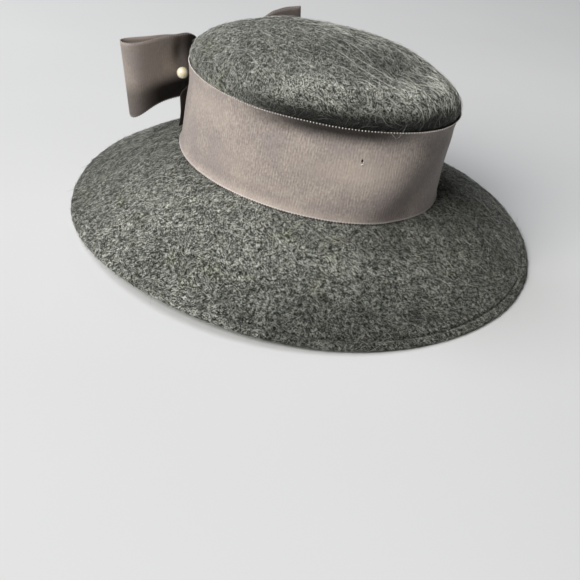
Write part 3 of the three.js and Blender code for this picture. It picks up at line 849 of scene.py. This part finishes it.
FIBRE_SIZES, OFF_FLOOR, LOWEST_FIBRE = (0.5, 1.4), 1.5, 0.1
FIBRE_CLUMPS, FIBRE_SWIRLS = 150, 70  # marks along a metre: clumps of 7 mm, and swirls of 6 to 12 mm by seed
FIBRES = (
    # name, material, per square metre, share of that on the brim, length, thickness, joints, swing, tilt, seed
    ("felt_pale_nap", grey_fibre, 66000, 1.0, 4.8, 0.17, 3, 0.8, 0.55, 11),
    ("felt_pale_fibres", pale_fibre, 44000, 0.85, 6.8, 0.18, 3, 0.7, 0.24, 83),
    ("felt_dark_fibres", dark_fibre, 70000, 1.0, 5.2, 0.22, 3, 0.8, 0.12, 29),
    ("felt_long_hairs", pale_fibre, 32000, 0.12, 13.0, 0.18, 5, 0.45, 0.2, 47),
)
BENDS = ((0.06, 0.03, 0.03), (-0.12, 0.04, -0.03), (0.18, 0.02, 0.04), (-0.05, 0.05, 0.08))  # bow, lift, hook

for name, material, count, on_brim, length, thickness, joints, swing, tilt, seed in FIBRES:
    locks = [make_lock(length, thickness, joints, *bend) for bend in BENDS]
    settle(strew(name, hood, locks, material, count, on_brim, swing, tilt, seed), name, ())


# ---------------------------------------------------------------- ribbons

def loops_along(name, path, inward, pitch, size, material):
    """A row of small loops of weft thread along a selvedge, each an oval bead turned to the edge."""
    run = lengths_along(path, 0) / MM
    stops = np.arange(pitch / 2, run[-1], pitch)
    spots, ways = (np.stack([np.interp(stops, run, line[:, axis]) for axis in range(3)], -1)
                   for line in (path, inward))
    shape = bmesh.new()
    for spot, way, step in zip(spots, ways, np.gradient(spots, axis=0)):
        tangent, out = Vector(step).normalized(), -Vector(way).normalized()
        facing = Matrix((tangent, out, tangent.cross(out))).transposed().to_4x4()
        stand = Matrix.Translation(Vector(spot) - SET_BACK) @ facing @ Matrix.Diagonal((*size, 1))
        bmesh.ops.create_icosphere(shape, subdivisions=1, radius=1, matrix=Matrix.Scale(MM, 4) @ stand)
    return finish_mesh(shape, name, material)


def loop_edges(name, places, inner, material):
    """Loops along a ribbon's foot and top. The row this many further in shows which way is inwards."""
    for part, edge, way in (("foot", 0, 1), ("top", -1, -1)):
        inward = places[edge + way * inner] - places[edge]
        loops = loops_along("loops", places[edge], inward, PICOT_PITCH, PICOT, material)
        settle(loops, f"{name}_{part}_picots", ())


# Where the band is warm and pale, partly dye faded by light and partly painted light, with a painted highlight
# along the lit foot: turn in degrees, height, how far each spreads, and how much.
FADE_AND_PAINTED_LIGHT = ((-100, 0.78, 14, 0.16, 0.7), (-88, 0.35, 12, 0.2, 0.5), (-52, 0.55, 18, 0.14, 0.55),
         (-33, 0.58, 15, 0.2, 1.1), (-70, 0.04, 45, 0.06, 0.9), (-118, 0.5, 6, 0.5, 0.25),
         (-60, 0.2, 24, 0.1, 0.4))
# The most fade with painted light, the most painted shadow on the band and on the bow, and the painted shadow
# all over the knot.
MOST_FADE_AND_LIGHT, MOST_PAINTED_SHADOW, BOW_MOST_PAINTED_SHADOW, KNOT_PAINTED_SHADOW = 1.2, 0.95, 0.96, 0.2
BAND_CLEAR = 0.1  # brings the band's outer face out to its solid's


def painted_shadow_on_band(turn, up):
    """Painted shadow on the band, near black: under the crown's sag, beyond the front ridge and in the lap."""
    turn = np.degrees(turn)
    strip = 0.95 * smooth(turn, -94, -54) * (1 - smooth(turn, -36, -2)) * smooth(up, 0.79, 0.95)
    leaning = turn - 24 * up
    beyond = 0.4 * smooth(leaning, -38, -22) * (1 - 0.8 * smooth(leaning, -16, 4)) * (1 - smooth(turn, 60, 110))
    lap = 0.95 * smooth(turn, 190, 198)
    return np.minimum(strip + beyond * (1 - strip) + lap, MOST_PAINTED_SHADOW)


def make_band():
    turns = np.linspace(BAND_START, BAND_END, 420)[None, :]
    ups = (0.012 + 0.988 * (0.5 - 0.5 * np.cos(np.linspace(0, np.pi, 30))))[:, None]
    turn, up = np.broadcast_arrays(turns, ups)
    rough = band_point(turn, up, 0)
    off = RIBBON_WALL + ripples(rough, 26, 0.35, 1.7) + ripples(rough * (1, 1, 0.25), 9, 0.12, 5.2)
    curl = 0.8 + 0.9 * bell(turn, radians(-98), radians(34))
    off = off + band_tuck(turn, up) + slack(turn, up) + curl * bell(up, 0, 0.04)
    places = band_point(turn, up, off + BAND_CLEAR)
    faded = sum(amount * bell(turn, radians(middle), radians(spread)) * bell(up, high, reach)
                for middle, high, spread, reach, amount in FADE_AND_PAINTED_LIGHT)
    marks = {"faded": np.minimum(faded, MOST_FADE_AND_LIGHT), "kept": painted_shadow_on_band(turn, up)}
    laid = lay_ribbon("band", places, up * RIBBON_WIDTH, band_grosgrain, marks, RIBBON_SHOWN, -1)
    return *laid, band_point(turn, up, off + BAND_CLEAR - RIBBON_SHOWN / 2)


def make_bow():
    turns = np.linspace(0, FULL_TURN, 221)[None, :]
    edges = np.linspace(-1, 1, 29)[:, None]
    turn, edge = np.broadcast_arrays(turns, edges)
    places = bow_point(turn, edge)
    places[..., 1] += crumple(turn, edge)
    places[:, -1] = places[:, 0]
    # Painted shade along the right loop's foot, deep in its pinch and on the left loop, and a little all over.
    reach = -np.cos(turn)
    foot = 0.97 * smooth(-edge, -0.08, 0.44) * smooth(reach, 0.12, 0.4)
    foot = foot * (1 - smooth(reach, 0.66, 1.0) ** 0.8 * 0.5)
    pinch = 0.5 * (1 - smooth(reach, 0.43, 0.56)) + 0.46 * (1 - smooth(reach, 0.27, 0.4))
    shade_share = foot + pinch * smooth(reach, -0.1, 0.05) * smooth(edge, -0.2, 0.35)
    kept = np.minimum(0.06 + shade_share + 0.4 * smooth(-reach, 0.1, 0.4), BOW_MOST_PAINTED_SHADOW)
    # Painted light on the right loop's face towards its tip.
    faded = 0.55 * bell(reach, 0.78, 0.13) * smooth(edge, -0.5, 0.3)
    across, marks = (edge + 1) / 2 * RIBBON_WIDTH, {"faded": faded, "kept": kept}
    return *lay_ribbon("bow", places, across, bow_grosgrain, marks, RIBBON_SHOWN, 0), places


def make_knot():
    turns = np.linspace(0, FULL_TURN, 121)[None, :]
    acrosses = np.linspace(-KNOT_HALF, KNOT_HALF, 17)[:, None]
    turn, across = np.broadcast_arrays(turns, acrosses)
    places = knot_point(turn, across)
    places[:, -1] = places[:, 0]
    # The knot takes a little painted shade all over.
    marks = {"faded": 0 * turn, "kept": KNOT_PAINTED_SHADOW + 0 * turn}
    return lay_ribbon("knot", places, (across + KNOT_HALF) * KNOT_WEAVE, bow_grosgrain, marks, RIBBON_WALL, -1)


band, band_length, band_edges = make_band()
settle(band, "grosgrain_band", ["band_ribbon"])
loop_edges("band", band_edges, 2, cotton_loops)

bow, bow_length, bow_edges = make_bow()
settle(bow, "grosgrain_bow", ["bow_ribbon"])
loop_edges("bow", bow_edges, 1, bow_grosgrain)

knot, knot_length = make_knot()
settle(knot, "grosgrain_knot", ["bow_knot"])


# ---------------------------------------------------------------- loose hairs and threads

def make_threads(name, runs, material, **marks):
    """Thin rods, drawn to a point at both ends, each bent along a smooth path of four places.
    Runs are (places in millimetres, thickness, joints)."""
    shape = bmesh.new()
    for path, thickness, joints in runs:
        bends = [Vector(place) - SET_BACK for place in path]
        for vert in add_rod(shape, 2, thickness, joints):
            share = (vert.co.z + 1) / 2
            weights = ((1 - share) ** 3, 3 * share * (1 - share) ** 2, 3 * share ** 2 * (1 - share), share ** 3)
            middle = sum((bend * weight for bend, weight in zip(bends, weights)), Vector())
            thin = max(0.0, 1 - abs(2 * share - 1) ** 3)
            vert.co = (middle + Vector((vert.co.x * thin, vert.co.x * 0.3 * thin, vert.co.y * thin))) * MM
    for key, value in marks.items():
        layer = shape.verts.layers.float.new(key)
        for vert in shape.verts:
            vert[layer] = value
    bmesh.ops.remove_doubles(shape, verts=shape.verts, dist=1e-7)
    return finish_mesh(shape, name, material)


def over_crown(turn, lift, off):
    relief = tuck(turn, radians(lift) * CROWN_RISE) + pressed_in(turn, radians(lift))
    return skin(CROWN, turn, radians(lift), -(off + relief))


def over_band(turn, up, off):
    return band_point(turn, up, off + RIBBON_WALL + band_tuck(turn, up) + slack(turn, up))


# Long pale guard hairs that lie loose on the crown, each from turn and lift to turn and lift, in degrees.
CROWN_HAIRS = ((-38, 50, -22, 28), (-33, 58, -18, 40), (-48, 62, -30, 44), (-20, 44, -8, 24), (-12, 40, -22, 16),
               (-6, 36, 8, 22), (-55, 40, -44, 22), (-70, 52, -58, 38), (-28, 70, -20, 52), (4, 46, 18, 30),
               (-42, 34, -30, 14), (-16, 30, -2, 12), (-95, 40, -80, 30), (-15, 22, -24, 8))
HAIR_SWAY = (3.0, -4.0, 6.0, -2.0)  # degrees to one side, by turns
HAIR, FORK_SHORT, FORK_LONG, YARN_END = 0.24, 0.32, 0.34, 0.5
FORK_TURN = radians(-24.5)


def make_strays():
    runs = []
    for number, (turn, lift, to_turn, to_lift) in enumerate(CROWN_HAIRS):
        sway = HAIR_SWAY[number % len(HAIR_SWAY)]
        stops = [(turn, lift, 0.3), (turn * 0.7 + to_turn * 0.3 + sway, lift * 0.7 + to_lift * 0.3, 1.2),
                 (turn * 0.3 + to_turn * 0.7 - sway / 2, lift * 0.3 + to_lift * 0.7, 1.3),
                 (to_turn, to_lift, 0.3)]
        runs.append(([over_crown(radians(at), high, off) for at, high, off in stops], HAIR, 10))
    # One forked hair hangs over the band's top edge at the front.
    fork = ((0.0, 0.925), (-0.018, 0.945), (-0.036, 0.966), (-0.054, 0.99))
    runs.append(([over_band(FORK_TURN + lean, up, 0.9) for lean, up in fork], FORK_SHORT, 6))
    runs.append(([over_band(FORK_TURN, 0.925, 1.2), over_band(FORK_TURN + 0.012, 0.965, 1.5),
                  over_crown(FORK_TURN + 0.03, 3, 3.2), over_crown(FORK_TURN + 0.046, 8, 1.6)], FORK_LONG, 8))
    return make_threads("strays", runs, pale_fibre, tone=0.8, worn=1.0)


def make_torn_yarn():
    """Two broken weft ends beside the old pin hole."""
    runs = []
    for lean, drop in ((0.012, 0.042), (0.016, 0.034)):
        bends = ((0.6 * lean, 0, 0.4), (lean, 0.02, 1.4), (0.4 * lean, 0.03, 1.4), (-0.6 * lean, drop, 0.6))
        path = [over_band(HOLE_TURN + aside, HOLE_UP - down, off) for aside, down, off in bends]
        runs.append((path, YARN_END, 6))
    yarn = fibre_material("Cotton yarn end, bleached", "#f1ece6", "#fdfbf8")
    return make_threads("torn_yarn", runs, yarn, tone=1.0, worn=1.0)


def make_stitches():
    """A row of plain stitches lying in the groove of the hem."""
    turns = np.linspace(0, FULL_TURN, 721)
    across = 1 - HEM_GROOVE_IN / BRIM_SLANT
    relief = felt_relief(brim_point(turns, across)[None], [BRIM])[0] * relief_share(BRIM, across)
    relief = relief + (HEM_GROOVE - STITCH_SUNK) * hem_filled(turns)
    path = skin(BRIM, turns, across, HEM_GROOVE - relief - STITCH_PROUD)
    inward = skin(BRIM, turns, across - 0.02, HEM_GROOVE - relief) - path
    return loops_along("stitches", path, inward, STITCH_PITCH, STITCH, hem_thread)


settle(make_strays(), "felt_loose_hairs", ())
settle(make_torn_yarn(), "band_torn_yarn", ())
settle(make_stitches(), "hem_stitches", ())


# ---------------------------------------------------------------- pin

def make_pearl():
    """A ball that draws in to a narrow neck where the shaft enters, spun round its axis."""
    shape = bmesh.new()
    outline = [(PEARL_RADIUS * math.cos(a), PEARL_RADIUS * math.sin(a))
               for a in np.radians(np.linspace(-90, 36, 26))]
    shoulder = outline[-1]
    for share in np.linspace(0.12, 1, 9):
        drawn_in = 1 - (1 - share ** 0.9) ** 1.25
        outline.append((shoulder[0] + (PEARL_NECK_RADIUS - shoulder[0]) * drawn_in,
                        shoulder[1] + (PEARL_NECK - 0.3 - shoulder[1]) * share))
    outline.append((0, PEARL_NECK))
    outline[0] = (0, -PEARL_RADIUS)
    verts = [shape.verts.new((x, 0, z)) for x, z in outline]
    edges = [shape.edges.new(pair) for pair in zip(verts, verts[1:])]
    bmesh.ops.spin(shape, geom=verts + edges, cent=(0, 0, 0), axis=(0, 0, 1), angle=FULL_TURN, steps=48,
                   use_merge=True)
    bmesh.ops.remove_doubles(shape, verts=shape.verts, dist=1e-4)
    direction = (PIN_TOWARDS - PEARL_CENTRE).normalized()
    stand = Vector((0, 0, 1)).rotation_difference(direction).to_matrix().to_4x4()
    placed = Matrix.Scale(MM, 4) @ Matrix.Translation(PEARL_CENTRE - SET_BACK) @ stand
    bmesh.ops.transform(shape, matrix=placed, verts=shape.verts)
    return finish_mesh(shape, "pearl", pearl_glass)


settle(make_pearl(), "pearl_pin_head", ["pin_pearl"])
steel = steel_material()
for slot in frame["nodes"]["pin_shaft"].material_slots:
    slot.material = steel


# ---------------------------------------------------------------- room, light and camera

FLOOR_HALF, FLOOR_BELOW = 6, 0.0002  # metres; just below the hem, so that the two never share a plane
VIEW_ROUND, VIEW_ABOVE, VIEW_DISTANCE = radians(-50), radians(23.3), 0.608
VIEW_LOOKS_RIGHT, VIEW_LOOKS_DOWN, VIEW_TILT = radians(-0.2), radians(-9.3), radians(-8.0)
LENS, FILM = 49.66, 36
LAMP_AWAY, LAMP_SIZE, HAT_MIDDLE = 4.5, 3.2, Vector((0, 0, 0.09))
LAMPS = (
    # name, turn to the left of the viewer and height in degrees, power in watts, colour
    ("soft_key", 45, 36, 228, "#fffdfa"),
    ("high_side", 110, 54, 95, "#f8faff"),
)


def make_floor():
    shape = bmesh.new()
    bmesh.ops.create_grid(shape, x_segments=1, y_segments=1, size=FLOOR_HALF)
    bmesh.ops.translate(shape, verts=shape.verts, vec=(0, 0, -FLOOR_BELOW))
    finish_mesh(shape, "floor", white_board, closed=False)


def turn_about(axis, angle, *vectors):
    turned = Matrix.Rotation(angle, 3, axis)
    return [turned @ vector for vector in vectors]


def make_camera():
    """At the height and distance where a standing viewer sees the hat's right side and front."""
    ahead, right = Vector((0, math.cos(VIEW_ABOVE), -math.sin(VIEW_ABOVE))), Vector((1, 0, 0))
    spot = -ahead * VIEW_DISTANCE
    up = right.cross(ahead)
    ahead, right = turn_about(up, VIEW_LOOKS_RIGHT, ahead, right)
    ahead, = turn_about(right, VIEW_LOOKS_DOWN, ahead)
    up = right.cross(ahead)
    right, up = turn_about(ahead, VIEW_TILT, right, up)
    spot, ahead, right, up = turn_about(Vector((0, 0, 1)), VIEW_ROUND, spot, ahead, right, up)
    spot += (Vector((0, 0, FOOT)) - SET_BACK) * MM
    lens = bpy.data.cameras.new("camera")
    lens.lens, lens.sensor_width = LENS, FILM
    lens.clip_start, lens.clip_end = 0.02, 50
    camera = show("camera", lens)
    camera.matrix_world = Matrix.Translation(spot) @ Matrix((right, up, -ahead)).transposed().to_4x4()
    bpy.context.scene.camera = camera
    return ahead, right


def make_lamp(name, direction, power, tint):
    """A broad round lamp that stands in this direction from the hat and faces it."""
    lamp = bpy.data.lights.new(name, "AREA")
    lamp.shape, lamp.size, lamp.energy, lamp.color = "DISK", LAMP_SIZE, power, colour(tint)[:3]
    spot = HAT_MIDDLE + direction * LAMP_AWAY
    facing = (HAT_MIDDLE - spot).to_track_quat("-Z", "Y").to_matrix().to_4x4()
    show(name, lamp).matrix_world = Matrix.Translation(spot) @ facing


make_floor()
ahead, right = make_camera()
level_right = Vector((right.x, right.y, 0)).normalized()
level_back = Vector((-ahead.x, -ahead.y, 0)).normalized()
for name, round_left, above, power, tint in LAMPS:
    level = level_back * math.cos(radians(round_left)) - level_right * math.sin(radians(round_left))
    make_lamp(name, level * math.cos(radians(above)) + Vector((0, 0, math.sin(radians(above)))), power, tint)

world = bpy.data.worlds.new("pale room")
world.use_nodes = True
background = world.node_tree.nodes["Background"]
background.inputs["Color"].default_value = colour("#f1f3f5")
background.inputs["Strength"].default_value = 0.02
bpy.context.scene.world = world
bpy.context.scene.view_settings.view_transform = "Standard"
